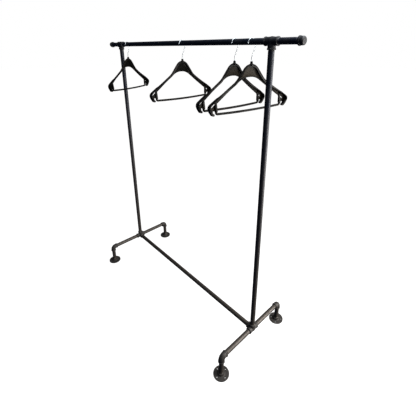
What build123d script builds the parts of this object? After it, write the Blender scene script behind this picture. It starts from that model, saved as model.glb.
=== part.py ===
from build123d import *
import math
import os

# A clothes rack screwed together from black iron pipe and malleable fittings, with four coat hangers.
# Sizes in mm. Origin on the floor midway between the uprights, X along the rail, front towards -Y.

# Pipe, nominal 3/4 inch, and its threaded ends
pipe_outside = 26.7
pipe_wall = 2.87
pipe_chamfer = 0.8
thread_pitch = 1.814
thread_depth = 1.0
thread_grip = 14.0            # how far a pipe screws into a fitting
thread_turns_showing = 3
thread_clearance = 0.02       # pipe to socket, on the radius

# Malleable iron fittings
fitting_reach = 33.3          # centre of a tee or elbow to its open end
fitting_wall = 3.4            # outside the thread
band_wall = 5.15
band_length = 6.9
band_round = 1.2
arm_fillet = 6.0              # where two arms of a fitting meet
mouth_chamfer = 0.8
waterway_step = 3.35          # thread's radius less the waterway's
elbow_bend = 20.0
cap_height = 24.6
cap_crown = 4.5               # thickness of the cap's end
cap_round = 6.0

# Floor flanges
flange_outside = 88.9
flange_rim = 5.0
flange_height = 17.0
flange_hub_wall = 6.15        # outside the thread
flange_hub_fillet = 4.0
flange_round = 1.0
bolt_circle = 63.5
bolt_hole = 7.0
bolt_count = 4
flange_turns = {               # degrees, each flange as it was screwed home
    "front_left": 15.0,
    "front_right": -2.0,
    "back_left": -20.0,
    "back_right": 30.0,
}

# Rack, all to the axes of the pipes
upright_spacing = 1284.0
rail_height = 1721.0
foot_height = 132.4
foot_half_length = 260.0
rail_overhang = 148.4         # axis of an upright to the outer face of the cap

# Hanger hook, bent from wire
hook_wire = 3.5
hook_gap = 0.3                # hook to rail
hook_bend = 23.25             # the bend round the rail, to the wire's axis
hook_tip_angle = 172.0        # where the open end stops, counted from the back of the rail
hook_leave_angle = -25.0      # where the wire leaves the bend towards the stem
hook_stem_bend = 40.0
hook_ball = 4.4
stem_head = 5.2
stem_head_height = 2.4
stem_head_room = 0.4          # round the stem head, inside the hub
swivel_clearance = 0.1        # stem to neck, on the radius
swivel_play = 0.3             # stem head to the underside of the neck

# Hanger body, moulded. Heights are taken from the rail's axis, widths from the stem's
neck_outside = 11.0
neck_top = -80.5
neck_foot = -98.0
hub_top = -90.5
hub_round = 55.0
neck_run = 26.0               # from the stem to where the neck's line starts down
neck_slope = 1.2
shoulder_start = -107.5       # height at which the shoulder's line would cross the stem
shoulder_slope = 0.63
shoulder_round = 90.0         # where the neck's line meets the shoulder's
shoulder_half = 236.0         # to the corner of the tip, before it is rounded
tip_round = 20.0
side_slope = 0.5              # how far the outer sides draw in on the way down
arch_top = -147.0
arch_round = 95.0
underside_start = -124.0
underside_slope = 0.667
arm_end_round = 8.0           # where the underside turns down into the prong
prong_inner = 183.5
prong_margin = 0.5            # prong's width over the bar's, each side
notch_top = -276.0
notch_round = 3.0
skirt_hook_foot = -297.0
skirt_hook_nose = 200.0
skirt_hook_inside = 211.0
skirt_hook_thick = 11.0
skirt_hook_round = 5.0
end_slot_top = (191.0, -245.0)     # the slot beside each prong, between the centres of its ends
end_slot_foot = (211.0, -261.0)
end_slot_width = 8.0
hub_behind = 12.0             # web's back to the stem's axis
hub_ahead = 3.0
tip_ahead = 14.0
bow = 8.0                     # how far the back stands forward at the tips
lower_rim_depth = 5.0
prong_depth = 13.0
skirt_hook_depth = 8.0
web = 3.0
rim = 3.0
rim_ledge = 0.6               # step from the deep rim down to the edge of the pocket
edge_round = 0.8

# Trouser bar
bar_outside = 9.5
bar_height = -290.5           # at its ends
bar_sag = 4.0
bar_bend = 8.0
bar_upturn = 1.0              # straight stretch between the bend and the prong
peg_outside = 4.0
peg_length = 8.0
peg_clearance = 0.05

# Each hanger's place along the rail, its turn about the stem, and its tilt on the rail, in degrees
half_spacing = upright_spacing / 2
hangers = {
    "hanger_1": (85.0 - half_spacing, 26.0, -1.0),
    "hanger_2": (54.0, 5.0, -1.2),
    "hanger_3": (half_spacing - 200.0, -0.5, -0.7),
    "hanger_4": (half_spacing - 101.5, -10.0, 1.0),
}
far = 400.0                   # past every side of a hanger

pipe_radius = pipe_outside / 2
socket_radius = pipe_radius + thread_clearance
fitting_radius = pipe_radius + fitting_wall
band_radius = pipe_radius + band_wall
waterway_radius = pipe_radius - waterway_step
prong_outer = prong_inner + bar_outside + 2 * prong_margin
prong_middle = (prong_inner + prong_outer) / 2
prong_foot = bar_height + bar_bend + bar_upturn
bow_reach = shoulder_half + 20.0   # the bow is measured here, just past the tips
tip_behind = hub_behind - bow
along_x = Rot(0, 90, 0)
along_y = Rot(-90, 0, 0)
back_y = Rot(90, 0, 0)
down = Rot(180, 0, 0)


def save(name, solid):
    solid.label = name
    export_step(solid, f"parts/{name}.step")


def turned(*edges):
    """Solid of revolution about Z; the outline's corners are (radius, height)."""
    outline = Polyline(*edges, close=True) if isinstance(edges[0], tuple) else Wire(edges)
    return revolve(Plane.XZ * make_face(outline), Axis.Z)


def pipe(length):
    """Pipe along Z, centred on the origin, with turns of thread showing at both ends."""
    half = length / 2
    bore = pipe_radius - pipe_wall
    groove = 0.45 * thread_pitch
    lower = [(pipe_radius - pipe_chamfer, -half), (pipe_radius, pipe_chamfer - half)]
    for turn in range(thread_turns_showing):
        middle = thread_grip + thread_pitch * (turn + 0.5) - half
        lower.append((pipe_radius, middle - groove))
        lower.append((pipe_radius - thread_depth, middle))
        lower.append((pipe_radius, middle + groove))
    upper = [(radius, -height) for radius, height in reversed(lower)]
    return turned((bore, -half), *lower, *upper, (bore, half))


def band(foot, top):
    """Thick ring round a fitting's mouth."""
    radius = band_radius
    edge = radius - band_round
    corner = band_round * (1 - math.sqrt(0.5))
    return turned(
        Line((0, foot), (edge, foot)),
        ThreePointArc((edge, foot), (radius - corner, foot + corner), (radius, foot + band_round)),
        Line((radius, foot + band_round), (radius, top - band_round)),
        ThreePointArc((radius, top - band_round), (radius - corner, top - corner), (edge, top)),
        Line((edge, top), (0, top)),
        Line((0, top), (0, foot)),
    )


def socket(mouth):
    """Threaded hole that opens at the height mouth, and the waterway below it."""
    foot = mouth - thread_grip - thread_pitch
    rim_radius = socket_radius + mouth_chamfer
    return turned(
        (0, foot),
        (socket_radius, foot),
        (socket_radius, mouth - mouth_chamfer),
        (rim_radius, mouth),
        (rim_radius, mouth + 1),
        (0, mouth + 1),
    )


def branched(*turns):
    """Fitting with an arm wherever a turn takes +Z; fillets swell each arm towards the centre."""
    radius = fitting_radius
    centre = radius + arm_fillet
    waist = centre - arm_fillet * math.sqrt(0.5)
    middle = (
        centre - arm_fillet * math.cos(math.radians(22.5)),
        centre - arm_fillet * math.sin(math.radians(22.5)),
    )
    arm = turned(
        Line((0, 0), (waist, 0)),
        Line((waist, 0), (waist, waist)),
        ThreePointArc((waist, waist), middle, (radius, centre)),
        Line((radius, centre), (radius, fitting_reach - band_length)),
        Line((radius, fitting_reach - band_length), (0, fitting_reach - band_length)),
        Line((0, fitting_reach - band_length), (0, 0)),
    )
    skin = arm + band(fitting_reach - band_length, fitting_reach)
    water = Pos(0, 0, fitting_reach / 2) * Cylinder(waterway_radius, fitting_reach)
    hollow = water + Sphere(waterway_radius) + socket(fitting_reach)
    solid = Part() + [turn * skin for turn in turns]
    return solid - [turn * hollow for turn in turns]


def elbow():
    """Quarter bend with one arm along +Z and the other along +X."""
    arm_end = fitting_reach - band_length
    inset = elbow_bend * (1 - math.sqrt(0.5))
    path = Wire([
        Line((0, 0, arm_end), (0, 0, elbow_bend)),
        ThreePointArc((0, 0, elbow_bend), (inset, 0, inset), (elbow_bend, 0, 0)),
        Line((elbow_bend, 0, 0), (arm_end, 0, 0)),
    ])
    mouth = Plane(origin=(0, 0, arm_end), z_dir=(0, 0, -1))
    skin = sweep(mouth * Circle(fitting_radius), path=path)
    water = sweep(mouth * Circle(waterway_radius), path=path)
    ring = band(arm_end, fitting_reach)
    hole = socket(fitting_reach)
    return skin + ring + along_x * ring - water - hole - along_x * hole


def cap():
    """Pipe cap with its mouth at the origin and its crown towards +Z."""
    radius = fitting_radius
    corner = cap_round * (1 - math.sqrt(0.5))
    edge = radius - cap_round
    skin = turned(
        Line((0, 0), (radius, 0)),
        Line((radius, 0), (radius, cap_height - cap_round)),
        ThreePointArc(
            (radius, cap_height - cap_round),
            (radius - corner, cap_height - corner),
            (edge, cap_height),
        ),
        Line((edge, cap_height), (0, cap_height)),
        Line((0, cap_height), (0, 0)),
    )
    hollow = down * socket(0)
    room = cap_height - cap_crown
    water = Pos(0, 0, room / 2) * Cylinder(waterway_radius, room)
    return skin + band(0, band_length) - hollow - water


def flange():
    """Floor flange standing on the origin, with a threaded hub and four screw holes."""
    radius = flange_outside / 2
    hub = pipe_radius + flange_hub_wall
    edge = radius - flange_round
    corner = flange_round * (1 - math.sqrt(0.5))
    fillet_foot = hub + flange_hub_fillet
    sag = flange_hub_fillet * (1 - math.sqrt(0.5))
    skin = turned(
        Line((0, 0), (radius, 0)),
        Line((radius, 0), (radius, flange_rim - flange_round)),
        ThreePointArc(
            (radius, flange_rim - flange_round),
            (radius - corner, flange_rim - corner),
            (edge, flange_rim),
        ),
        Line((edge, flange_rim), (fillet_foot, flange_rim)),
        ThreePointArc(
            (fillet_foot, flange_rim),
            (hub + sag, flange_rim + sag),
            (hub, flange_rim + flange_hub_fillet),
        ),
        Line((hub, flange_rim + flange_hub_fillet), (hub, flange_height - flange_round)),
        ThreePointArc(
            (hub, flange_height - flange_round),
            (hub - corner, flange_height - corner),
            (hub - flange_round, flange_height),
        ),
        Line((hub - flange_round, flange_height), (0, flange_height)),
        Line((0, flange_height), (0, 0)),
    )
    through = Cylinder(waterway_radius, 3 * flange_height)
    holes = PolarLocations(bolt_circle / 2, bolt_count) * Cylinder(bolt_hole / 2, 3 * flange_rim)
    return skin - socket(flange_height) - through - holes


def hook():
    """Wire hook in the YZ plane: a bend over the rail, a lean, the stem and its upset head."""
    wire = hook_wire / 2
    centre = pipe_radius + hook_gap + wire - hook_bend
    tip, top, leave = [
        (
            0,
            hook_bend * math.cos(math.radians(angle)),
            centre + hook_bend * math.sin(math.radians(angle)),
        )
        for angle in (hook_tip_angle, 90, hook_leave_angle)
    ]
    elbow_height = leave[2] - leave[1] / math.tan(math.radians(-hook_leave_angle))
    stem_end = neck_foot - swivel_play - stem_head_height
    lean = FilletPolyline(leave, (0, 0, elbow_height), (0, 0, stem_end), radius=hook_stem_bend)
    path = Wire([ThreePointArc(tip, top, leave), *lean.edges()])
    section = Plane(origin=(0, 0, stem_end), z_dir=(0, 0, 1)) * Circle(wire)
    head = Pos(0, 0, stem_end + stem_head_height / 2) * Cylinder(stem_head / 2, stem_head_height)
    return sweep(section, path=path) + Pos(tip) * Sphere(hook_ball / 2) + head


def shoulder_corners(foot):
    """Right half of the top outline: hub, neck curve and shoulder tip, then down to foot."""
    meet = (shoulder_start - hub_top - neck_slope * neck_run) / (shoulder_slope - neck_slope)
    tip = shoulder_start - shoulder_slope * shoulder_half
    return [
        (neck_run, hub_top, hub_round),
        (meet, shoulder_start - shoulder_slope * meet, shoulder_round),
        (shoulder_half, tip, tip_round),
        (shoulder_half - side_slope * (tip - foot), foot, skirt_hook_round),
    ]


def arch_corners():
    """Right half of the underside: the arm's lower edge and the arch below the hub."""
    meet = (underside_start - arch_top) / underside_slope
    return [
        (prong_inner, underside_start - underside_slope * prong_inner, arm_end_round),
        (meet, arch_top, arch_round),
    ]


def outline(right_half):
    """Closed face in the YZ plane from the right half's corners, mirrored, each (u, v, radius)."""
    corners = right_half + [(-u, v, radius) for u, v, radius in reversed(right_half)]
    points = [(u, v) for u, v, radius in corners]
    radii = [radius for u, v, radius in corners]
    return Plane.YZ * make_face(FilletPolyline(*points, radius=radii, close=True))


def behind(hub_front, tip_front):
    """Everything behind a bowed front face, given its X at the hub and at the tips."""
    front = ThreePointArc((tip_front, -bow_reach), (hub_front, 0), (tip_front, bow_reach))
    back = Polyline(front @ 1, (-far, bow_reach), (-far, -bow_reach), front @ 0)
    return Pos(0, 0, -2 * far) * extrude(make_face(Wire([front, *back.edges()])), 3 * far)


def behind_depth(depth):
    """Everything behind the face that stands that far in front of the body's back."""
    return behind(depth - hub_behind, depth - tip_behind)


def bar_place():
    """X of the trouser bar: the middle of the prongs, on the bowed back."""
    return prong_depth / 2 - hub_behind + bow * (prong_middle / bow_reach) ** 2


def end_slots():
    """The two slots beside the prongs, through the web."""
    run = end_slot_foot[0] - end_slot_top[0]
    drop = end_slot_foot[1] - end_slot_top[1]
    place = Pos(end_slot_top[0] + run / 2, end_slot_top[1] + drop / 2)
    slot = SlotCenterToCenter(math.hypot(run, drop), end_slot_width)
    right = place * Rot(0, 0, math.degrees(math.atan2(drop, run))) * slot
    slots = right + mirror(right, Plane.YZ)
    return extrude(Plane.YZ * slots, far, both=True)


def body():
    """Moulded shoulders: a bowed web with a deep top rim, a shallow lower rim and skirt hooks."""
    nose_top = skirt_hook_foot + skirt_hook_thick
    skirt_hook = [
        (skirt_hook_nose, skirt_hook_foot, skirt_hook_round),
        (skirt_hook_nose, nose_top, skirt_hook_round),
        (skirt_hook_inside, nose_top, notch_round),
        (skirt_hook_inside, notch_top, notch_round),
        (prong_outer, notch_top, notch_round),
        (prong_outer, prong_foot, edge_round),
        (prong_inner, prong_foot, edge_round),
    ]
    pad_corner = [(prong_inner, notch_top, edge_round)]
    full = outline(shoulder_corners(skirt_hook_foot) + skirt_hook + arch_corners())
    plain = outline(shoulder_corners(notch_top) + pad_corner + arch_corners())
    under_rim = offset(outline(shoulder_corners(-far)), -rim)
    arms = Box(2 * far, 2 * prong_inner, 4 * far)
    prongs = Box(2 * far, 2 * prong_outer, 4 * far) - arms
    ends = Box(2 * far, 4 * far, 4 * far) - arms - prongs
    solid = extrude(full, far, both=True) & behind(hub_ahead, tip_ahead)
    solid -= behind(-hub_behind, -tip_behind)
    shallow = extrude(under_rim, far, both=True)
    shallow += Pos(0, 0, notch_top - far) * Box(2 * far, 4 * far, 2 * far)
    for zone, depth in ((arms, lower_rim_depth), (prongs, prong_depth), (ends, skirt_hook_depth)):
        solid -= (shallow & zone) - behind_depth(depth)
    pocket = extrude(offset(plain, -rim - rim_ledge), far, both=True) - prongs
    solid -= pocket - behind_depth(web)
    solid -= end_slots()
    neck_length = neck_top - neck_foot
    neck = Pos(0, 0, neck_foot + neck_length / 2)
    solid += neck * Cylinder(neck_outside / 2, neck_length)
    solid -= neck * Cylinder(hook_wire / 2 + swivel_clearance, 2 * neck_length)
    hole_depth = peg_length + peg_clearance
    peg_hole = Cylinder(peg_outside / 2 + peg_clearance, hole_depth)
    for side in (-1, 1):
        solid -= Pos(bar_place(), side * prong_middle, prong_foot + hole_depth / 2) * peg_hole
    return solid


def trouser_bar():
    """Round bar that sags a little, with upturned ends that plug into the prongs."""
    half = prong_middle - bar_bend
    low = bar_height - bar_sag
    corner = bar_bend * (1 - math.sqrt(0.5))
    path = Wire([
        Line((0, -prong_middle, prong_foot), (0, -prong_middle, bar_height + bar_bend)),
        ThreePointArc(
            (0, -prong_middle, bar_height + bar_bend),
            (0, corner - prong_middle, bar_height + corner),
            (0, -half, bar_height),
        ),
        ThreePointArc((0, -half, bar_height), (0, 0, low), (0, half, bar_height)),
        ThreePointArc(
            (0, half, bar_height),
            (0, prong_middle - corner, bar_height + corner),
            (0, prong_middle, bar_height + bar_bend),
        ),
        Line((0, prong_middle, bar_height + bar_bend), (0, prong_middle, prong_foot)),
    ])
    section = Plane(origin=path @ 0, z_dir=(0, 0, -1)) * Circle(bar_outside / 2)
    solid = sweep(section, path=path, transition=Transition.ROUND)
    peg = Cylinder(peg_outside / 2, peg_length)
    for side in (-1, 1):
        solid += Pos(0, side * prong_middle, prong_foot + peg_length / 2) * peg
    return Pos(bar_place(), 0, 0) * solid


os.makedirs("parts", exist_ok=True)

run_length = upright_spacing - 2 * (fitting_reach - thread_grip)
upright_length = rail_height - foot_height - 2 * (fitting_reach - thread_grip)
foot_length = foot_half_length - 2 * (fitting_reach - thread_grip)
stub_length = rail_overhang - fitting_reach - cap_height + 2 * thread_grip
ankle_length = foot_height - fitting_reach - flange_height + 2 * thread_grip

save("hanging_rail", Pos(0, 0, rail_height) * along_x * pipe(run_length))
save("lower_bar", Pos(0, 0, foot_height) * along_x * pipe(run_length))

for side_name, side in (("left", -1), ("right", 1)):
    post = Pos(side * half_spacing, 0, 0)
    outward = along_x if side > 0 else Rot(0, -90, 0)
    inward = Rot(0, -90, 0) if side > 0 else along_x
    stub_middle = side * (fitting_reach - thread_grip + stub_length / 2)
    stub_place = post * Pos(stub_middle, 0, rail_height)
    rail_tee = branched(down, outward, inward)
    base_cross = branched(Rot(), inward, along_y, back_y)
    save(f"rail_tee_{side_name}", post * Pos(0, 0, rail_height) * rail_tee)
    save(f"rail_stub_{side_name}", stub_place * along_x * pipe(stub_length))
    cap_mouth = Pos(side * (rail_overhang - cap_height), 0, rail_height)
    save(f"rail_cap_{side_name}", post * cap_mouth * outward * cap())
    save(f"upright_{side_name}", post * Pos(0, 0, (rail_height + foot_height) / 2) * pipe(upright_length))
    save(f"base_cross_{side_name}", post * Pos(0, 0, foot_height) * base_cross)
    for end_name, end in (("front", -1), ("back", 1)):
        name = f"{end_name}_{side_name}"
        middle = Pos(0, end * foot_half_length / 2, foot_height)
        corner = Pos(0, end * foot_half_length, foot_height)
        ankle_middle = foot_height - fitting_reach + thread_grip - ankle_length / 2
        ankle = Pos(0, end * foot_half_length, ankle_middle)
        quarter = Rot(0, 0, -end * 90) * down * elbow()
        save(f"foot_pipe_{name}", post * middle * along_y * pipe(foot_length))
        save(f"foot_elbow_{name}", post * corner * quarter)
        save(f"ankle_nipple_{name}", post * ankle * pipe(ankle_length))
        screwed = Pos(0, end * foot_half_length, 0) * Rot(0, 0, flange_turns[name])
        save(f"floor_flange_{name}", post * screwed * flange())

hook_solid = hook()
body_solid = body()
bar_solid = trouser_bar()
for name, (place, turn, tilt) in hangers.items():
    hung = Pos(place, 0, rail_height) * Rot(tilt, 0, 0)
    save(f"{name}_hook", hung * hook_solid)
    save(f"{name}_body", hung * Rot(0, 0, turn) * body_solid)
    save(f"{name}_trouser_bar", hung * Rot(0, 0, turn) * bar_solid)
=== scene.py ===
import math
import bmesh
import bpy
import numpy as np
from mathutils import Euler, Matrix, Vector


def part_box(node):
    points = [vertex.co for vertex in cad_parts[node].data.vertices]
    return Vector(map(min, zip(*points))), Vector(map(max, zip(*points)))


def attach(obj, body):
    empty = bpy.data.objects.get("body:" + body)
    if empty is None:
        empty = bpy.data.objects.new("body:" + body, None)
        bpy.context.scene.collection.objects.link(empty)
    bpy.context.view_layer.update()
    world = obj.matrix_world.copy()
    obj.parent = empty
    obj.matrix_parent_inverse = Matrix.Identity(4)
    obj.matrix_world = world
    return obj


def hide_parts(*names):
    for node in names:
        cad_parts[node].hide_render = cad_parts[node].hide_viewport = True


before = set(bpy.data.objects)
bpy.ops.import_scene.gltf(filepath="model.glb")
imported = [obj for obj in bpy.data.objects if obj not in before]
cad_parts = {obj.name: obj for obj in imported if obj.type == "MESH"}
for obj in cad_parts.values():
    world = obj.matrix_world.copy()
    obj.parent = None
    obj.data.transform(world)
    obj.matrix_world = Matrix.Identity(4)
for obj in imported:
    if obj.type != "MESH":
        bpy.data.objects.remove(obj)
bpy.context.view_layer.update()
scene = bpy.context.scene
mm = 0.001


# making meshes from surfaces

def gridFaces(rows, columns, closeRows, closeColumns, start):
    # face (i, j) joins points (i, j), (i+1, j), (i+1, j+1) and (i, j+1), taken round where a way closes
    i = np.arange(rows if closeRows else rows - 1)[:, None]
    j = np.arange(columns if closeColumns else columns - 1)[None, :]
    below = (i + 1) % rows
    beside = (j + 1) % columns
    corners = [i * columns + j, below * columns + j, below * columns + beside, i * columns + beside]
    flat = [np.broadcast_to(corner, (i.size, j.size)).ravel() for corner in corners]
    return np.stack(flat, axis=1) + start


def makePiece(name, sheets, sharpAngle=35.0):
    # a sheet is (points[rows, columns, xyz], close rows, close columns, share at each point or None), the
    # share being worn metal on iron and the web's painted light on plastic
    points, faces, wornAndWebLit, count = [], [], [], 0
    for grid, closeRows, closeColumns, wearAndWebLight in sheets:
        rows, columns = grid.shape[:2]
        points.append(grid.reshape(-1, 3))
        share = 0.0 if wearAndWebLight is None else wearAndWebLight
        wornAndWebLit.append(np.broadcast_to(share, (rows, columns)).ravel())
        faces.append(gridFaces(rows, columns, closeRows, closeColumns, count))
        count += rows * columns
    mesh = bpy.data.meshes.new(name)
    mesh.from_pydata(np.concatenate(points).tolist(), [], np.concatenate(faces).tolist())
    attribute = mesh.attributes.new("wornAndWebLit", "FLOAT", "POINT")
    attribute.data.foreach_set("value", np.concatenate(wornAndWebLit).astype(np.float32))
    work = bmesh.new()
    work.from_mesh(mesh)
    bmesh.ops.remove_doubles(work, verts=work.verts, dist=2e-6)
    bmesh.ops.dissolve_degenerate(work, edges=work.edges, dist=1e-7)
    bmesh.ops.recalc_face_normals(work, faces=work.faces)
    work.to_mesh(mesh)
    work.free()
    mesh.shade_smooth()
    mesh.set_sharp_from_angle(angle=math.radians(sharpAngle))
    piece = bpy.data.objects.new(name, mesh)
    scene.collection.objects.link(piece)
    return piece


def place(sheets, matrix):
    # every point p goes to R p + t
    turn = np.array(matrix.to_3x3())
    shift = np.array(matrix.translation)
    return [(grid @ turn.T + shift, rows, columns, wearAndWebLight) for grid, rows, columns, wearAndWebLight in sheets]


def fit(piece, node, body, material):
    piece.data.materials.append(material)
    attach(piece, body)
    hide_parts(node)


def lathe(profile, sides=64, wearAndWebLight=None):
    # the profile (r, z) turned about Z: (r cos a, r sin a, z)
    angle = np.linspace(0, 2 * np.pi, sides, endpoint=False)
    r = profile[:, 0][:, None]
    z = profile[:, 1][:, None] + 0 * angle[None, :]
    grid = np.stack([r * np.cos(angle), r * np.sin(angle), z], axis=2)
    return grid, True, True, None if wearAndWebLight is None else wearAndWebLight[:, None]


def rounded(corners, steps=6, closed=True):
    # the corners (a, b, radius) joined by straight lines, each corner an arc of its radius
    corners = np.array(corners, float)
    spots = corners[:, :2]
    line = []
    for k in range(len(corners)):
        here, radius = spots[k], corners[k, 2]
        if radius < 1e-6 or (not closed and k in (0, len(corners) - 1)):
            line.append(here[None, :])
            continue
        inward = spots[k - 1] - here
        onward = spots[(k + 1) % len(corners)] - here
        inward /= np.hypot(*inward)
        onward /= np.hypot(*onward)
        halfAngle = math.acos(np.clip(inward @ onward, -1, 1)) / 2
        middle = here + (inward + onward) / np.hypot(*(inward + onward)) * radius / math.sin(halfAngle)
        first = here + inward * radius / math.tan(halfAngle) - middle
        last = here + onward * radius / math.tan(halfAngle) - middle
        share = np.linspace(0, 1, steps + 1)[:, None]
        swing = math.pi - 2 * halfAngle
        arc = (np.sin((1 - share) * swing) * first + np.sin(share * swing) * last) / math.sin(swing)
        line.append(middle + arc)
    return np.concatenate(line)


def evenly(line, count, closed=False):
    # the same line with count points spaced evenly along it
    if closed:
        line = np.vstack([line, line[:1]])
    along = np.r_[0, np.cumsum(np.linalg.norm(np.diff(line, axis=0), axis=1))]
    wanted = np.linspace(0, along[-1], count, endpoint=not closed)
    return np.stack([np.interp(wanted, along, line[:, axis]) for axis in range(line.shape[1])], axis=1)


def softened(line, passes=2):
    # each pass cuts every corner at a quarter and three quarters of its sides, keeping the ends
    for _ in range(passes):
        quarter = 0.75 * line[:-1] + 0.25 * line[1:]
        far = 0.25 * line[:-1] + 0.75 * line[1:]
        between = np.stack([quarter, far], axis=1).reshape(-1, line.shape[1])
        line = np.vstack([line[:1], between, line[-1:]])
    return line


def smoothShare(value, low, high):
    # 3 t^2 - 2 t^3, with t running from 0 at low to 1 at high
    t = np.clip((value - low) / (high - low), 0, 1)
    return t * t * (3 - 2 * t)


def endCapped(grid):
    # the first and last rings are each drawn in to their middle
    first = grid[:1].mean(axis=1, keepdims=True) + 0 * grid[:1]
    last = grid[-1:].mean(axis=1, keepdims=True) + 0 * grid[-1:]
    return np.concatenate([first, grid, last])


def tube(path, radius, sides=20, roundEnds=4):
    # circles of that radius square to the path, carried along it with no twist, closed by half balls
    tangent = np.gradient(path, axis=0)
    tangent /= np.linalg.norm(tangent, axis=1)[:, None]
    side = np.array([1.0, 0.0, 0.0]) - tangent * tangent[:, :1]
    side /= np.linalg.norm(side, axis=1)[:, None]
    other = np.cross(tangent, side)
    cap = np.linspace(0, np.pi / 2, roundEnds + 1)
    centre = np.vstack([
        path[:1] - tangent[:1] * radius * np.cos(cap[:, None]),
        path[1:-1],
        path[-1:] + tangent[-1:] * radius * np.cos(cap[::-1, None]),
    ])
    size = np.concatenate([np.sin(cap), np.ones(len(path) - 2), np.sin(cap[::-1])]) * radius
    copies = np.ones(len(path), int)
    copies[[0, -1]] = roundEnds + 1
    angle = np.linspace(0, 2 * np.pi, sides, endpoint=False)
    ring = np.repeat(side, copies, axis=0)[:, None, :] * np.cos(angle)[None, :, None]
    ring = ring + np.repeat(other, copies, axis=0)[:, None, :] * np.sin(angle)[None, :, None]
    return centre[:, None, :] + ring * size[:, None, None], False, True, None


# materials

def newMaterial(name):
    material = bpy.data.materials.new(name)
    material.use_nodes = True
    tree = material.node_tree
    return material, tree, tree.nodes["Principled BSDF"]


def addNode(tree, kind, inputs=None, **settings):
    node = tree.nodes.new("ShaderNode" + kind)
    for key, value in settings.items():
        setattr(node, key, value)
    for key, value in (inputs or {}).items():
        if isinstance(value, bpy.types.NodeSocket):
            tree.links.new(value, node.inputs[key])
        else:
            node.inputs[key].default_value = value
    return node


def noise(tree, where, scale, detail=4.0, roughness=0.55):
    return addNode(tree, "TexNoise", {"Vector": where, "Scale": scale, "Detail": detail,
                                      "Roughness": roughness}).outputs["Fac"]


def ramp(tree, value, stops):
    # stops are (position, grey or rgb)
    node = addNode(tree, "ValToRGB", {"Fac": value})
    while len(node.color_ramp.elements) < len(stops):
        node.color_ramp.elements.new(0.5)
    for element, (position, colour) in zip(node.color_ramp.elements, stops):
        element.position = position
        element.color = (*colour, 1.0) if isinstance(colour, tuple) else (colour, colour, colour, 1.0)
    return node.outputs["Color"]


def mixColour(tree, factor, first, second, blend="MIX"):
    node = addNode(tree, "Mix", data_type="RGBA", blend_type=blend)
    for key, value in (("Factor", factor), ("A", first), ("B", second)):
        socket = [s for s in node.inputs if s.name == key and s.enabled][0]
        if isinstance(value, bpy.types.NodeSocket):
            tree.links.new(value, socket)
        else:
            socket.default_value = value if isinstance(value, float) else (*value, 1.0)
    return [s for s in node.outputs if s.enabled][0]


def span(tree, value, low, high, toLow, toHigh):
    return addNode(tree, "MapRange", {"Value": value, "From Min": low, "From Max": high,
                                      "To Min": toLow, "To Max": toHigh}).outputs["Result"]


def bumps(tree, shader, layers):
    # layers are (height, strength, distance), each on top of the one before
    normal = None
    for height, strength, distance in layers:
        inputs = {"Height": height, "Strength": strength, "Distance": distance}
        if normal is not None:
            inputs["Normal"] = normal
        normal = addNode(tree, "Bump", inputs).outputs["Normal"]
    tree.links.new(normal, shader.inputs["Normal"])


def ironMaterial(name, look):
    # oxide-black iron with painted light by height: a painted bluish shade up high, a painted lighter
    # brown-grey near the floor, mottled, with bare metal where worn
    material, tree, shader = newMaterial(name)
    where = addNode(tree, "TexCoord").outputs["Object"]
    height = addNode(tree, "SeparateXYZ", {"Vector": where}).outputs["Z"]
    # painted light: the base colour runs by height from the lit brown-grey low colour to the bluish shaded
    # high colour
    lightByHeight = span(tree, height, 0.15, 1.55, 0.0, 1.0)
    base = mixColour(tree, lightByHeight, look["litLowColour"], look["bluishShadeHighColour"])
    cloud = noise(tree, where, look["cloudScale"], 5.0, 0.6)
    dusty = ramp(tree, cloud, [(0.35, 0.0), (0.7, look["cloudShare"])])
    base = mixColour(tree, dusty, base, look["dustColour"])
    speck = noise(tree, where, look["speckScale"], 3.0, 0.7)
    rusty = ramp(tree, speck, [(0.62, 0.0), (0.74, look["speckShare"])])
    base = mixColour(tree, rusty, base, look["rustColour"])
    wearAndWebLight = addNode(tree, "Attribute", attribute_name="wornAndWebLit").outputs["Fac"]
    uneven = ramp(tree, speck, [(0.3, 0.35), (0.6, 1.0)])
    scuff = addNode(tree, "Math", {0: wearAndWebLight, 1: uneven}, operation="MULTIPLY")
    base = mixColour(tree, scuff.outputs[0], base, look["bareColour"])
    tree.links.new(base, shader.inputs["Base Color"])
    tree.links.new(span(tree, scuff.outputs[0], 0.0, 1.0, look["metal"], 0.9), shader.inputs["Metallic"])
    tree.links.new(span(tree, cloud, 0.3, 0.7, *look["roughness"]), shader.inputs["Roughness"])
    shader.inputs["Coat Weight"].default_value = look["coat"]
    shader.inputs["Coat Roughness"].default_value = 0.35
    bumps(tree, shader, [
        (cloud, 0.25, 0.0006),
        (noise(tree, where, look["grainScale"], 3.0, 0.6), look["grain"], 0.0004),
    ])
    return material


# the low and high colours are painted light: a lighter brown-grey for light falling low down, a blue-black
# for shade and bluish reflection up high
ironLook = {
    "litLowColour": (0.080, 0.069, 0.060), "bluishShadeHighColour": (0.013, 0.020, 0.038),
    "dustColour": (0.075, 0.070, 0.064), "rustColour": (0.085, 0.055, 0.035),
    "bareColour": (0.34, 0.33, 0.32), "cloudScale": 22.0, "cloudShare": 0.35,
    "speckScale": 210.0, "speckShare": 0.35, "metal": 0.25, "roughness": (0.40, 0.56),
    "coat": 0.15, "grainScale": 420.0, "grain": 0.25,
}
castLook = dict(ironLook, litLowColour=(0.068, 0.064, 0.062), bluishShadeHighColour=(0.020, 0.025, 0.034),
                cloudScale=45.0, cloudShare=0.5, speckScale=160.0, roughness=(0.48, 0.68), coat=0.1,
                grainScale=300.0, grain=0.75)
pipeIron = ironMaterial("blackPipeIron", ironLook)
castIron = ironMaterial("malleableCastIron", castLook)


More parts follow.
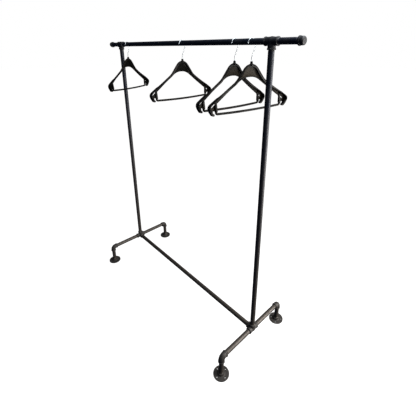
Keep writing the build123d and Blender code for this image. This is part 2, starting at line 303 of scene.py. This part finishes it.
def plasticMaterial(name, colour, tint, webLitColour, roughness, grain):
    # moulded plastic: a dark colour, the web given its hanger's level of painted light and shade, slow
    # changes of tint, and a fine leather grain
    material, tree, shader = newMaterial(name)
    where = addNode(tree, "TexCoord").outputs["Object"]
    slow = noise(tree, where, 9.0, 3.0, 0.5)
    base = mixColour(tree, ramp(tree, slow, [(0.35, 0.0), (0.7, 1.0)]), colour, tint)
    # the share read here marks where the web's painted light colour goes
    webLightMask = addNode(tree, "Attribute", attribute_name="wornAndWebLit").outputs["Fac"]
    mottle = noise(tree, where, 60.0, 4.0, 0.6)
    deeper = tuple(0.7 * part for part in webLitColour)
    web = mixColour(tree, ramp(tree, mottle, [(0.3, 0.0), (0.7, 1.0)]), deeper, webLitColour)
    base = mixColour(tree, webLightMask, base, web)
    tree.links.new(base, shader.inputs["Base Color"])
    scratch = noise(tree, where, 140.0, 5.0, 0.7)
    tree.links.new(span(tree, scratch, 0.3, 0.7, *roughness), shader.inputs["Roughness"])
    tree.links.new(span(tree, webLightMask, 0.0, 1.0, 0.13, 0.07), shader.inputs["Specular IOR Level"])
    pebble = addNode(tree, "TexVoronoi", {"Vector": where, "Scale": 900.0}, feature="SMOOTH_F1")
    bumps(tree, shader, [(slow, 0.1, 0.001), (pebble.outputs["Distance"], grain, 0.0002)])
    return material


# painted light and shade: one black plastic drawn as shaded copies on the hangers to the left and as lit,
# browner copies on those to the right
webLightLevels = {
    "blackShadedWeb": (0.002, 0.002, 0.002),
    "darkShadedWeb": (0.004, 0.004, 0.003),
    "duskHalfLitWeb": (0.020, 0.016, 0.010),
    "brownLitWeb": (0.042, 0.034, 0.024),
}
shellLook = {
    "colour": (0.006, 0.006, 0.006), "tint": (0.010, 0.009, 0.008), "roughness": (0.26, 0.40), "grain": 0.3,
}
barLook = {
    "colour": (0.007, 0.007, 0.006), "tint": (0.012, 0.010, 0.008), "webLitColour": (0.007, 0.007, 0.007),
    "roughness": (0.30, 0.45), "grain": 0.2,
}
litWebPlastic = {
    name: plasticMaterial(name + "Plastic", webLitColour=webLitColour, **shellLook)
    for name, webLitColour in webLightLevels.items()
}
barPlastic = plasticMaterial("blackPlastic", **barLook)


def chromeMaterial():
    # bright plated wire with faint drawing marks and a few dull spots
    material, tree, shader = newMaterial("platedWire")
    where = addNode(tree, "TexCoord").outputs["Object"]
    cloud = noise(tree, where, 90.0, 4.0, 0.6)
    dull = ramp(tree, cloud, [(0.4, 0.0), (0.75, 0.6)])
    tint = mixColour(tree, dull, (0.80, 0.86, 0.90), (0.62, 0.67, 0.72))
    tree.links.new(tint, shader.inputs["Base Color"])
    shader.inputs["Metallic"].default_value = 0.5
    tree.links.new(span(tree, cloud, 0.3, 0.7, 0.26, 0.42), shader.inputs["Roughness"])
    bumps(tree, shader, [(noise(tree, where, 700.0, 2.0, 0.5), 0.12, 0.0001)])
    return material


wireChrome = chromeMaterial()
print("materials made")


# pipes with cut threads

pipeSize = {
    "outside": 26.7 * mm, "wall": 2.87 * mm, "chamfer": 0.8 * mm, "pitch": 1.814 * mm,
    "threadDepth": 0.95 * mm, "threadLength": 21.5 * mm, "threadFade": 4.0 * mm, "sides": 64,
}


def pipeSheets(length):
    # outside radius R - depth * fade(z) * |saw(z / pitch - a / 2 pi)|, a helix of V grooves near each end,
    # then round the end and back through the bore
    radius = pipeSize["outside"] / 2
    bore = radius - pipeSize["wall"]
    half = length / 2
    pitch = pipeSize["pitch"]
    threaded = min(pipeSize["threadLength"], half - 2 * mm)
    rows = int(threaded / pitch * 8)
    near = half - np.linspace(pipeSize["chamfer"], threaded, rows)
    z = np.r_[near, np.linspace(near[-1], -near[-1], 12)[1:-1], -near[::-1]][:, None]
    angle = np.linspace(0, 2 * np.pi, pipeSize["sides"], endpoint=False)[None, :]
    turn = z / pitch - angle / (2 * np.pi)
    groove = 2 * np.abs(turn - np.floor(turn) - 0.5)
    inThread = half - np.abs(z)
    fade = np.clip((threaded - inThread) / pipeSize["threadFade"], 0, 1)
    depth = pipeSize["threadDepth"] * (1 - np.clip(1.25 * groove, 0, 1)) * fade
    r = radius - depth
    outside = np.stack([r * np.cos(angle), r * np.sin(angle), z + 0 * angle], axis=2)
    wearAndWebLight = fade * np.clip(1.6 * groove - 0.6, 0, 1) * 0.8
    ends = np.array([[radius - pipeSize["chamfer"], -half], [bore, -half], [bore, half],
                     [radius - pipeSize["chamfer"], half]])
    inside = lathe(ends, pipeSize["sides"])[0]
    grid = np.concatenate([outside, inside])
    return [(grid, True, True, np.concatenate([wearAndWebLight + 0 * angle, np.zeros((4, pipeSize["sides"]))]))]


pipeKinds = ("hanging_rail", "lower_bar", "rail_stub", "upright", "foot_pipe", "ankle")
pipeNodes = [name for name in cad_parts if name.startswith(pipeKinds)]
for number, name in enumerate(sorted(pipeNodes)):
    low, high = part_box(name)
    size = high - low
    axis = int(np.argmax(size))
    turn = [Euler((0, math.pi / 2, 0)), Euler((-math.pi / 2, 0, 0)), Euler((0, 0, 0))][axis]
    spin = Matrix.Rotation(math.radians(67 * number), 4, "Z")
    where = Matrix.Translation((low + high) / 2) @ turn.to_matrix().to_4x4() @ spin
    piece = makePiece(name + "_threaded", place(pipeSheets(size[axis]), where), 50.0)
    fit(piece, name, "rack", pipeIron)
print("pipes:", len(pipeNodes))


# malleable fittings

castSize = {
    "reach": 33.3 * mm, "bodyRadius": 16.75 * mm, "bandRadius": 18.5 * mm, "bandLength": 6.9 * mm,
    "bandRound": 1.3 * mm, "socketRadius": 13.42 * mm, "chamfer": 0.8 * mm, "socketDepth": 15.0 * mm,
    "blend": 1.6 * mm, "seam": 0.35 * mm, "seamWidth": 1.0 * mm, "cells": 44, "capHeight": 24.6 * mm,
    "capRound": 6.5 * mm, "bend": 20.0 * mm, "lap": 0.8 * mm,
}


def bandSheet(foot, top):
    # the ring round a mouth: outside with rounded edges, a chamfered mouth and the socket's wall
    s = castSize
    profile = rounded([
        (s["bodyRadius"] - 1.5 * mm, foot, 0), (s["bandRadius"], foot, s["bandRound"]),
        (s["bandRadius"], top, s["bandRound"]), (s["socketRadius"] + s["chamfer"], top, 0.15 * mm),
        (s["socketRadius"], top - s["chamfer"], 0), (s["socketRadius"], top - s["socketDepth"], 0),
        (s["socketRadius"] + 1.5 * mm, top - s["socketDepth"], 0),
    ], 5)
    r = profile[:, 0]
    onEdge = (r > s["bandRadius"] - 0.9 * s["bandRound"]) & (r < s["bandRadius"] - 1e-6)
    return lathe(profile, 72, np.where(onEdge, 0.30, 0.0))


def armField(points, arms):
    # smooth least distance to the arms' half lines: -k log sum exp(-(|p - t a| - R) / k)
    total = 0
    for arm in arms:
        along = np.clip(points @ arm, 0, None)
        away = np.linalg.norm(points - along[..., None] * arm, axis=-1) - castSize["bodyRadius"]
        total = total + np.exp(-away / castSize["blend"])
    return -castSize["blend"] * np.log(total)


def coreSheets(arms, seamNormal):
    # from the centre, along each ray of a cube's grid, out to where the smooth field is nought
    cells = castSize["cells"]
    edge = np.tan(np.linspace(-np.pi / 4, np.pi / 4, cells + 1))
    a, b = np.meshgrid(edge, edge, indexing="ij")
    sheets = []
    for axis in range(3):
        for sign in (-1.0, 1.0):
            ray = np.zeros(a.shape + (3,))
            ray[..., axis] = sign
            ray[..., (axis + 1) % 3] = a * sign
            ray[..., (axis + 2) % 3] = b
            ray /= np.linalg.norm(ray, axis=-1)[..., None]
            near, farther = np.zeros(a.shape), np.full(a.shape, 0.06)
            for _ in range(26):
                middle = (near + farther) / 2
                inside = armField(ray * middle[..., None], arms) < 0
                near, farther = np.where(inside, middle, near), np.where(inside, farther, middle)
            for arm in arms:
                ahead = ray @ arm
                bandStart = castSize["reach"] - castSize["bandLength"] + castSize["lap"]
                stop = bandStart / np.clip(ahead, 1e-3, None)
                near = np.minimum(near, np.where(ahead > 0.3, stop, 1.0))
            fromSeam = np.abs((ray * near[..., None]) @ seamNormal)
            flash = np.clip(1 - fromSeam / castSize["seamWidth"], 0, 1)
            r = near + castSize["seam"] * flash
            sheets.append((ray * r[..., None], False, False, 0.15 * flash))
    return sheets


def branchedSheets(arms, seamNormal):
    arms = [np.array(arm, float) for arm in arms]
    sheets = coreSheets(arms, np.array(seamNormal, float))
    for arm in arms:
        turn = Vector((0, 0, 1)).rotation_difference(Vector(arm)).to_matrix().to_4x4()
        ring = bandSheet(castSize["reach"] - castSize["bandLength"], castSize["reach"])
        sheets += place([ring], turn)
    return sheets


def elbowSheets():
    # a circle of the body's radius carried from +Z round a quarter bend to +X
    s = castSize
    end = s["reach"] - s["bandLength"] + s["lap"]
    straight = np.linspace(end, s["bend"], 4)
    sweep = np.linspace(0, np.pi / 2, 25)[1:-1]
    path = np.concatenate([
        np.stack([0 * straight, 0 * straight, straight], axis=1),
        np.stack([s["bend"] * (1 - np.cos(sweep)), 0 * sweep, s["bend"] * (1 - np.sin(sweep))], axis=1),
        np.stack([straight[::-1], 0 * straight, 0 * straight], axis=1),
    ])
    tangent = np.gradient(path, axis=0)
    tangent /= np.linalg.norm(tangent, axis=1)[:, None]
    side = np.array([0.0, 1.0, 0.0])
    up = np.cross(tangent, side)
    angle = np.linspace(0, 2 * np.pi, 72, endpoint=False)
    flash = np.clip(1 - np.abs(np.sin(angle)) * s["bodyRadius"] / s["seamWidth"], 0, 1)
    r = s["bodyRadius"] + s["seam"] * flash
    ring = up[:, None, :] * (r * np.cos(angle))[None, :, None]
    ring = ring + side * (r * np.sin(angle))[None, :, None]
    sheets = [(endCapped(path[:, None, :] + ring), False, True, None)]
    for arm in ((0, 0, 1), (1, 0, 0)):
        turn = Vector((0, 0, 1)).rotation_difference(Vector(arm)).to_matrix().to_4x4()
        sheets += place([bandSheet(s["reach"] - s["bandLength"], s["reach"])], turn)
    return sheets


def capSheets():
    # mouth at the origin, crown towards +Z: outside, rounded crown, and the socket inside
    s = castSize
    profile = rounded([
        (0.0, s["capHeight"], 0), (s["bodyRadius"], s["capHeight"], s["capRound"]),
        (s["bodyRadius"], s["bandLength"], 0.8 * mm), (s["bandRadius"], s["bandLength"], s["bandRound"]),
        (s["bandRadius"], 0.0, s["bandRound"]), (s["socketRadius"] + s["chamfer"], 0.0, 0.15 * mm),
        (s["socketRadius"], s["chamfer"], 0), (s["socketRadius"], s["socketDepth"], 0),
        (0.0, s["socketDepth"], 0),
    ], 8)
    onCrown = (profile[:, 0] > 0.75 * s["bodyRadius"]) & (profile[:, 1] > 0.8 * s["capHeight"])
    wearAndWebLight = np.where(onCrown, 0.2, 0.0)
    grid = lathe(profile, 72, wearAndWebLight)
    return [(grid[0], False, True, grid[3])]


def castPiece(name, sheets, where):
    piece = makePiece(name + "_cast", place(sheets, where), 45.0)
    fit(piece, name, "rack", castIron)


railHeight = sum(corner.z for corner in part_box("hanging_rail")) / 2
footHeight = sum(corner.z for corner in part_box("lower_bar")) / 2
for side, sign in (("left", -1), ("right", 1)):
    postX = sum(corner.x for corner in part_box("upright_" + side)) / 2
    atRail = Matrix.Translation((postX, 0, railHeight))
    atFoot = Matrix.Translation((postX, 0, footHeight))
    castPiece("rail_tee_" + side, branchedSheets([(1, 0, 0), (-1, 0, 0), (0, 0, -1)], (0, 1, 0)), atRail)
    cross = branchedSheets([(0, 1, 0), (0, -1, 0), (0, 0, 1), (-sign, 0, 0)], (1, 0, 0))
    castPiece("base_cross_" + side, cross, atFoot)
    low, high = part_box("rail_cap_" + side)
    mouth = low.x if sign > 0 else high.x
    outward = Euler((0, sign * math.pi / 2, 0)).to_matrix().to_4x4()
    castPiece("rail_cap_" + side, capSheets(), Matrix.Translation((mouth, 0, railHeight)) @ outward)
    for end, back in (("front", -1), ("back", 1)):
        low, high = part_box(f"floor_flange_{end}_{side}")
        cornerY = (low.y + high.y) / 2
        quarter = Euler((math.pi, 0, -back * math.pi / 2)).to_matrix().to_4x4()
        where = Matrix.Translation((postX, cornerY, footHeight)) @ quarter
        castPiece(f"foot_elbow_{end}_{side}", elbowSheets(), where)
        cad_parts[f"floor_flange_{end}_{side}"].data.materials.clear()
        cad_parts[f"floor_flange_{end}_{side}"].data.materials.append(castIron)
print("fittings made")


# coat hangers, each made about the rail's axis above its stem: x ahead, y along the arms, z up

# each hanger's last entry picks the painted light level of its web
hangerPlace = {
    "hanger_1": {"x": -557.0 * mm, "turn": 26.0, "tilt": -1.0, "webLight": "blackShadedWeb"},
    "hanger_2": {"x": 54.0 * mm, "turn": 5.0, "tilt": -1.2, "webLight": "darkShadedWeb"},
    "hanger_3": {"x": 442.0 * mm, "turn": -0.5, "tilt": -0.7, "webLight": "duskHalfLitWeb"},
    "hanger_4": {"x": 540.5 * mm, "turn": -10.0, "tilt": 1.0, "webLight": "brownLitWeb"},
}

# corners are (along, up, radius) from the stem outwards, over the shoulder and down the outer side
shoulderLine = rounded([
    (0, -90.5, 0), (26, -90.5, 55), (84.6, -160.8, 90), (236, -256.2, 20), (222.6, -283, 0),
], 16, False) * mm
undersideLine = rounded([(0, -147, 0), (34.5, -147, 95), (186, -248, 0)], 16, False) * mm

# section corners are (ahead, up from the shoulder line) in mm, at the hub and at the tips
sectionSize = {
    "arm": [
        (2.6, -11.5), (2.2, -6.0), (1.3, -2.0), (0.0, -0.3), (-1.6, 0.0), (-5.0, -3.2), (-10.6, -11.6),
        (-12.0, -15.0),
    ],
    "armInside": [
        (-9.6, -15.4), (-8.6, -12.6), (-3.9, -5.9), (-2.0, -3.7), (-0.6, -3.4), (0.3, -5.0), (0.9, -11.5),
    ],
    "end": [
        (13.6, -2.9), (14.0, -1.5), (13.2, -0.4), (7.0, 0.0), (1.0, 0.0), (-3.0, -0.2), (-6.2, -1.0),
        (-7.0, -3.0),
    ],
    "endInside": [
        (-4.0, -5.0), (-3.8, -4.1), (-3.0, -3.4), (0.0, -3.1), (4.0, -3.1), (9.0, -3.1), (13.0, -3.2),
    ],
    "armBack": -12.0, "endBack": -7.0, "web": 2.5, "lowerRim": 5.0, "lowerWidth": 2.8,
    "edge": 0.8, "topEdge": 0.7, "filletRun": 0.6, "filletFoot": 0.5, "filletTop": 1.6,
    "flareStart": 105.0 * mm, "flareEnd": 205.0 * mm, "armEnd": 186.0 * mm, "stations": 150,
}


def armSection(share, deep):
    # the arm's and the end's sections mixed by share, then the web down to deep and the small lower rim
    s = sectionSize
    outside = (1 - share) * np.array(s["arm"]) + share * np.array(s["end"])
    inside = (1 - share) * np.array(s["armInside"]) + share * np.array(s["endInside"])
    back = (1 - share) * s["armBack"] + share * s["endBack"]
    front = back + s["lowerRim"]
    webFront = back + s["web"]
    edge = s["edge"]
    rimTop = s["lowerWidth"] - deep
    lower = np.array([
        (back, -0.5 * deep), (back, edge - deep), (back + edge, -deep), (front - edge, -deep),
        (front, edge - deep), (front, rimTop - edge), (front - s["topEdge"], rimTop),
        (webFront + s["filletRun"], rimTop + s["filletFoot"]), (webFront, rimTop + s["filletTop"]),
        (webFront, -0.5 * deep),
    ])
    return np.vstack([outside, lower, inside])


def armSheet():
    # that section at each station from one arm's end to the other's, hung from the shoulder line
    s = sectionSize
    u = np.linspace(-s["armEnd"], s["armEnd"], s["stations"])
    top = np.interp(np.abs(u), *shoulderLine[:np.argmax(shoulderLine[:, 0])].T)
    foot = np.interp(np.abs(u), *undersideLine.T)
    slope = np.gradient(top, u)
    stretch = np.sqrt(1 + slope ** 2)
    share = smoothShare(np.abs(u), s["flareStart"], s["flareEnd"])
    rows = []
    for k in range(len(u)):
        deep = (top[k] - foot[k]) / mm / stretch[k]
        ahead, up = (armSection(share[k], deep) * mm).T
        rows.append(np.stack([ahead, 0 * ahead + u[k], top[k] + up * stretch[k]], axis=1))
    webStart = len(s["arm"]) + 8
    # these rows are the web, marked to take the web's painted light colour
    webLightMask = np.zeros(len(ahead))
    webLightMask[webStart:webStart + 3] = 1.0
    return endCapped(np.array(rows)), False, True, webLightMask[None, :]


endSize = {
    "wallStart": 170.0 * mm, "wall": 3.0 * mm, "wallBack": -7.0 * mm, "wallFront": 2.5 * mm,
    "flare": 11.6 * mm,
    "backRound": 1.0 * mm, "frontRound": 0.9 * mm, "sunk": 2.5 * mm, "footShy": 3.0 * mm,
    "padStart": 180.0 * mm, "padFoot": -276.0 * mm, "padInset": 1.5 * mm,
    "padCorners": [(222, -276.4), (184, -277), (184, -250), (180, -243)],
    "slotMiddle": (200.5, -252.5), "slotRun": (17.0, -14.5), "slotHalfWidth": 3.3 * mm, "slotLip": 1.2 * mm,
    "finger": [(220.5, -268), (219, -276), (215.5, -285), (211.5, -290.5), (206, -291.8), (200.2, -291)],
    "fingerHalf": 5.0 * mm, "fingerRound": 1.6 * mm,
    "prongMiddle": 188.75 * mm, "prongTop": -233.0 * mm, "prongFoot": -283.5 * mm, "prongHalf": 5.5 * mm,
    "prongRound": 1.8 * mm,
}


def tipLine(start, count):
    # the shoulder line from where it passes start, round the tip and down, as evenly spaced points
    line = evenly(shoulderLine, 600)
    return evenly(line[np.argmax(line[:, 0] > start):], count)


def wallSheet(sign):
    # the deep wall: a rounded strip, x from back to front, carried round the tip along the shoulder line
    e = endSize
    path = tipLine(e["wallStart"], 60)
    along = np.gradient(path, axis=0)
    along /= np.hypot(along[:, 0], along[:, 1])[:, None]
    inward = np.stack([along[:, 1], -along[:, 0]], axis=1)
    share = smoothShare(path[:, 0], sectionSize["flareStart"], sectionSize["flareEnd"])
    share = np.maximum.accumulate(share)
    down = np.linspace(0, 1, len(path))
    sunk = e["sunk"] * (1 - smoothShare(path[:, 0], path[0, 0], sectionSize["armEnd"] - 2 * mm))
    front = e["wallFront"] + e["flare"] * share - e["footShy"] * smoothShare(down, 0.7, 1.0) - sunk
    rows = []
    for k in range(len(path)):
        section = rounded([
            (e["wallBack"], 0, e["backRound"]), (front[k], 0, e["frontRound"]),
            (front[k], e["wall"], e["frontRound"]), (e["wallBack"], e["wall"], e["backRound"]),
        ], 4)
        spot = path[k][None, :] + (section[:, 1:2] + sunk[k]) * inward[k][None, :]
        rows.append(np.stack([section[:, 0], sign * spot[:, 0], spot[:, 1]], axis=1))
    return endCapped(np.array(rows)), False, True, None


def slotLoop():
    # a stadium: two half circles about the ends of the slot's run, in the hanger's plane
    run = np.array(endSize["slotRun"]) * mm
    half = np.linalg.norm(run) / 2
    width = endSize["slotHalfWidth"]
    heading = math.atan2(run[1], run[0])
    swing = np.linspace(-np.pi / 2, np.pi / 2, 13)
    right = np.stack([half + width * np.cos(swing), width * np.sin(swing)], axis=1)
    turn = [(math.cos(heading), math.sin(heading)), (-math.sin(heading), math.cos(heading))]
    return np.vstack([right, -right]) @ np.array(turn) + np.array(endSize["slotMiddle"]) * mm


def padSheet(sign):
    # ruled between the pad's edge and the slot, matched by angle about the slot's middle
    e = endSize
    middle = np.array(e["slotMiddle"]) * mm
    tip = tipLine(e["padStart"], 200)
    tip = tip[tip[:, 1] > e["padFoot"]]
    tip = tip + e["padInset"] * (middle - tip) / np.linalg.norm(middle - tip, axis=1)[:, None]
    edge = np.vstack([tip, np.array(e["padCorners"]) * mm])
    angles = np.linspace(-np.pi, np.pi, 121)[:-1]
    rings = []
    for loop in (edge, slotLoop()):
        loop = evenly(loop, 900, True)
        bearing = np.arctan2(loop[:, 1] - middle[1], loop[:, 0] - middle[0])
        order = np.argsort(bearing)
        reach = np.hypot(*(loop[order] - middle).T)
        distance = np.interp(angles, bearing[order], reach, period=2 * np.pi)
        rings.append(np.stack([np.cos(angles), np.sin(angles)], axis=1) * distance[:, None] + middle)
    outer, inner = rings
    lip = e["slotLip"] * (outer - inner) / np.linalg.norm(outer - inner, axis=1)[:, None]
    besideLip = inner + 1.8 * lip
    # the third value of each stage is its share of the web's painted light colour; the pad's front face
    # takes 0.8
    stages = [
        (outer, -7.0, 0.0), (besideLip, -7.0, 0.0), (inner + lip, -9.2, 0.0), (inner, -8.6, 0.0),
        (inner, -3.6, 0.0), (inner + lip, -3.0, 0.0), (besideLip, -4.0, 0.8), (outer, -4.0, 0.8),
    ]
    rows = [
        np.stack([0 * ring[:, 0] + x * mm, sign * ring[:, 0], ring[:, 1]], axis=1) for ring, x, _ in stages
    ]
    return np.array(rows), True, True, np.array([share for _, _, share in stages])[:, None]


def barBlock(path, halfWidth, back, front, corner, sign):
    # a rounded rectangle, x from back to front, carried along the path, drawn in to round ends
    along = np.gradient(path, axis=0)
    along /= np.hypot(along[:, 0], along[:, 1])[:, None]
    across = np.stack([-along[:, 1], along[:, 0]], axis=1)
    reach = np.r_[0, np.cumsum(np.hypot(*np.diff(path, axis=0).T))]
    rows = []
    for k in range(len(path)):
        near = min(reach[k], reach[-1] - reach[k])
        t = 1 - min(near / halfWidth, 1)
        shrink = math.sqrt(max(1 - t * t, 0.0))
        wide = max(halfWidth * shrink, 0.02 * mm)
        deep = (front[k] - back[k]) / 2 * (0.45 + 0.55 * shrink)
        middle = (front[k] + back[k]) / 2
        cut = min(corner, 0.9 * wide, 0.9 * deep)
        section = rounded([(middle - deep, -wide, cut), (middle + deep, -wide, cut),
                           (middle + deep, wide, cut), (middle - deep, wide, cut)], 4)
        spot = path[k][None, :] + section[:, 1:2] * across[k][None, :]
        rows.append(np.stack([section[:, 0], sign * spot[:, 0], spot[:, 1]], axis=1))
    return endCapped(np.array(rows)), False, True, None


def endSheets(sign):
    # the deep wall, the pad with its slot, the skirt hook, and the prong the trouser bar plugs into
    e = endSize
    finger = evenly(softened(np.array(e["finger"]) * mm, 3), 40)
    share = np.linspace(0, 1, len(finger))
    fingerBack = (-7.0 + 1.5 * share) * mm
    fingerFront = (13.0 - 5.0 * smoothShare(share, 0.1, 0.9)) * mm
    down = np.linspace(e["prongTop"], e["prongFoot"], 30)
    prong = np.stack([0 * down + e["prongMiddle"], down], axis=1)
    prongFront = np.linspace(-2.5, 6.0, len(down)) * mm
    return [
        wallSheet(sign), padSheet(sign),
        barBlock(finger, e["fingerHalf"], fingerBack, fingerFront, e["fingerRound"], sign),
        barBlock(prong, e["prongHalf"], 0 * down + e["wallBack"], prongFront, e["prongRound"], sign),
    ]


neckSize = {
    "bore": 1.8, "radius": 5.5, "foot": 8.5, "top": -80.5, "flareTop": -87.5, "flareFoot": -92.5,
    "hidden": -99.0,
}


def neckSheet():
    # the short sleeve round the wire, flared where it meets the hub, turned about the stem
    n = neckSize
    profile = rounded([
        (n["bore"], n["top"], 0), (n["radius"], n["top"], 0.8), (n["radius"], n["flareTop"], 2),
        (n["foot"], n["flareFoot"], 3), (n["foot"], n["hidden"], 0), (n["bore"], n["hidden"], 0),
    ], 5)
    return lathe(profile * mm, 40)


hookSize = {
    "wire": 1.75 * mm, "bend": 23.25 * mm, "centre": -7.85 * mm, "tip": 172.0, "leave": -25.0,
    "stemBend": 40.0 * mm, "foot": -100.7 * mm, "ball": 2.3 * mm, "head": 2.6 * mm, "headHeight": 2.4 * mm,
    "headRound": 0.6 * mm,
}


def hookSheets():
    # an arc round the rail, a lean and an arc back to the stem, as one wire with a ball on its open end
    h = hookSize
    swing = np.radians(np.linspace(h["tip"], h["leave"], 60))
    bend = np.stack([h["bend"] * np.cos(swing), h["centre"] + h["bend"] * np.sin(swing)], axis=1)
    leave = bend[-1]
    slope = math.radians(-h["leave"])
    elbow = leave[1] - leave[0] / math.tan(slope)
    lean = rounded([(*leave, 0), (0, elbow, h["stemBend"]), (0, h["foot"], 0)], 16, False)
    line = evenly(np.vstack([bend, lean[1:]]), 150)
    path = np.stack([0 * line[:, 0], line[:, 0], line[:, 1]], axis=1)
    angle = np.linspace(0, np.pi, 17)
    ball = np.stack([h["ball"] * np.sin(angle), h["ball"] * np.cos(angle)], axis=1)
    ballGrid = lathe(ball, 24)[0] + path[0]
    headTop = h["foot"] + h["headHeight"]
    head = rounded([
        (0.0, h["foot"], 0), (h["head"], h["foot"], h["headRound"]), (h["head"], headTop, h["headRound"]),
        (0.0, headTop, 0),
    ], 4)
    headGrid = lathe(head, 24)[0]
    return [tube(path, h["wire"], 20), (ballGrid, False, True, None), (headGrid, False, True, None)]


barSize = {
    "ahead": -1.15 * mm, "middle": 188.75, "height": -290.5, "bend": 8.0, "sag": 4.0, "top": -281.6,
    "radius": 5.2 * mm, "pegFoot": -284.0, "pegMiddle": -279.0, "pegTop": -273.7, "pegRadius": 2.0 * mm,
}


def trouserBarSheets():
    # a round bar that sags by a parabola between two bends, its ends turned up and stepped down to pegs
    b = barSize
    middle, height, bend, sag = b["middle"], b["height"], b["bend"], b["sag"]
    u = np.linspace(-(middle - bend), middle - bend, 80)
    run = np.stack([u, height - sag * (1 - (u / (middle - bend)) ** 2)], axis=1)
    swing = np.linspace(0, np.pi / 2, 12)[1:]
    right = np.stack([middle - bend + bend * np.sin(swing), height + bend * (1 - np.cos(swing))], axis=1)
    up = np.array([(middle, b["top"])])
    line = np.vstack([up * (-1, 1), right[::-1] * (-1, 1), run, right, up]) * mm
    path = np.stack([0 * line[:, 0], line[:, 0], line[:, 1]], axis=1)
    sheets = [tube(path, b["radius"], 28, 3)]
    for sign in (-1, 1):
        peg = np.array([(0, sign * middle, b[level]) for level in ("pegFoot", "pegMiddle", "pegTop")]) * mm
        sheets.append(tube(peg, b["pegRadius"], 16, 2))
    return place(sheets, Matrix.Translation((b["ahead"], 0, 0)))


for name, where in hangerPlace.items():
    matrix = Matrix.Translation((where["x"], 0, railHeight))
    matrix = matrix @ Matrix.Rotation(math.radians(where["tilt"]), 4, "X")
    matrix = matrix @ Matrix.Rotation(math.radians(where["turn"]), 4, "Z")
    hook = makePiece(name + "_hook_wire", place(hookSheets(), matrix), 60.0)
    fit(hook, name + "_hook", name + "_on_rail", wireChrome)
    sheets = [armSheet(), neckSheet()] + endSheets(1) + endSheets(-1)
    shell = makePiece(name + "_body_moulded", place(sheets, matrix), 40.0)
    fit(shell, name + "_body", name, litWebPlastic[where["webLight"]])
    bar = makePiece(name + "_bar_round", place(trouserBarSheets(), matrix), 60.0)
    fit(bar, name + "_trouser_bar", name, barPlastic)
print("hangers made")


# floor, light and camera

def softLight(name, spot, aim, size, power, colour):
    light = bpy.data.lights.new(name, "AREA")
    light.shape = "RECTANGLE"
    light.size, light.size_y = size
    light.energy = power
    light.color = colour
    lamp = bpy.data.objects.new(name, light)
    lamp.location = spot
    lamp.rotation_euler = (Vector(aim) - Vector(spot)).to_track_quat("-Z", "Y").to_euler()
    scene.collection.objects.link(lamp)


studioLook = {
    "from": (0.60, 0.52, 0.60), "shade": (0.012, 0.022, 0.050), "bright": (0.52, 0.49, 0.45),
    "lamps": {
        "windowLight": ((1.9, 0.9, 1.0), (0.5, 0, 0.8), (0.8, 1.8), 46.0, (1.0, 0.96, 0.91)),
        "ceilingLight": ((1.1, 0.2, 2.8), (0.4, 0, 0.3), (1.4, 1.2), 34.0, (0.93, 0.97, 1.0)),
    },
}
floorMesh = bpy.data.meshes.new("studioFloor")
floorMesh.from_pydata([(-30, -30, 0), (30, -30, 0), (30, 30, 0), (-30, 30, 0)], [], [(0, 1, 2, 3)])
studioFloor = bpy.data.objects.new("studioFloor", floorMesh)
scene.collection.objects.link(studioFloor)
floorPaint, _, floorShader = newMaterial("palePaper")
floorShader.inputs["Base Color"].default_value = (0.30, 0.30, 0.30, 1)
floorShader.inputs["Roughness"].default_value = 0.9
floorShader.inputs["Specular IOR Level"].default_value = 0.0
floorShader.inputs["Emission Color"].default_value = (1, 1, 1, 1)
floorShader.inputs["Emission Strength"].default_value = 0.93
studioFloor.data.materials.append(floorPaint)
studioFloor.visible_diffuse = False
studioFloor.visible_glossy = False

world = bpy.data.worlds.new("paleStudio")
scene.world = world
world.use_nodes = True
tree = world.node_tree
seen = addNode(tree, "LightPath").outputs["Is Camera Ray"]
ahead = addNode(tree, "TexCoord").outputs["Generated"]
facing = addNode(tree, "VectorMath", {0: ahead, 1: studioLook["from"]}, operation="DOT_PRODUCT")
towards = facing.outputs["Value"]
glow = addNode(tree, "MapRange", {"Value": towards, "From Min": -0.25, "From Max": 1.0, "To Min": 0.0,
                                  "To Max": 1.0}, interpolation_type="SMOOTHSTEP").outputs["Result"]
lit = mixColour(tree, glow, studioLook["shade"], studioLook["bright"])
tree.links.new(mixColour(tree, seen, lit, (1.0, 1.0, 1.0)), tree.nodes["Background"].inputs["Color"])
for name, lamp in studioLook["lamps"].items():
    softLight(name, *lamp)
scene.view_settings.view_transform = "Standard"
scene.view_settings.gamma = 0.88

cameraSize = {
    "place": (1.3947, -1.0467, 1.6922), "turnLeft": 46.76, "tiltDown": 20.81, "lens": 25.115,
    "shift": (-0.0069, -0.1175),
}
cameraData = bpy.data.cameras.new("camera")
cameraData.lens = cameraSize["lens"]
cameraData.sensor_width = 36.0
cameraData.shift_x, cameraData.shift_y = cameraSize["shift"]
cameraData.clip_start = 0.05
camera = bpy.data.objects.new("camera", cameraData)
camera.location = cameraSize["place"]
pitch = math.radians(90 - cameraSize["tiltDown"])
camera.rotation_euler = (pitch, 0, math.radians(cameraSize["turnLeft"]))
scene.collection.objects.link(camera)
scene.camera = camera
print("floor, light and camera set")
